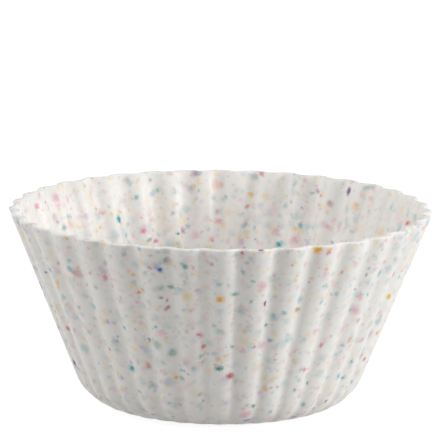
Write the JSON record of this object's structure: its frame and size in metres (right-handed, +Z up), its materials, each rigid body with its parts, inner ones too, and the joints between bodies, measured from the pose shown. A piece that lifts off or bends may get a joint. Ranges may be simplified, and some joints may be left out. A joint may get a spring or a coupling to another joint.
{
  "type": "silicone baking cup",
  "caption": "Round fluted silicone baking cup with a flaring wall, an open top and a flat base, for baking muffins and cupcakes.",
  "frame": {"origin": "centre of the flat underside, on the surface that the cup stands on", "axes": "+Z up along the cup's axis from the base to the open rim, with the crest of one flute facing -Y"},
  "size_m": [0.0698, 0.0698, 0.0325],
  "materials": {
    "silicone": "pale translucent silicone with a satin surface and confetti specks of many colours inside it"
  },
  "bodies": {
    "root": {"baking_cup": "silicone"}
  },
  "joints": []
}
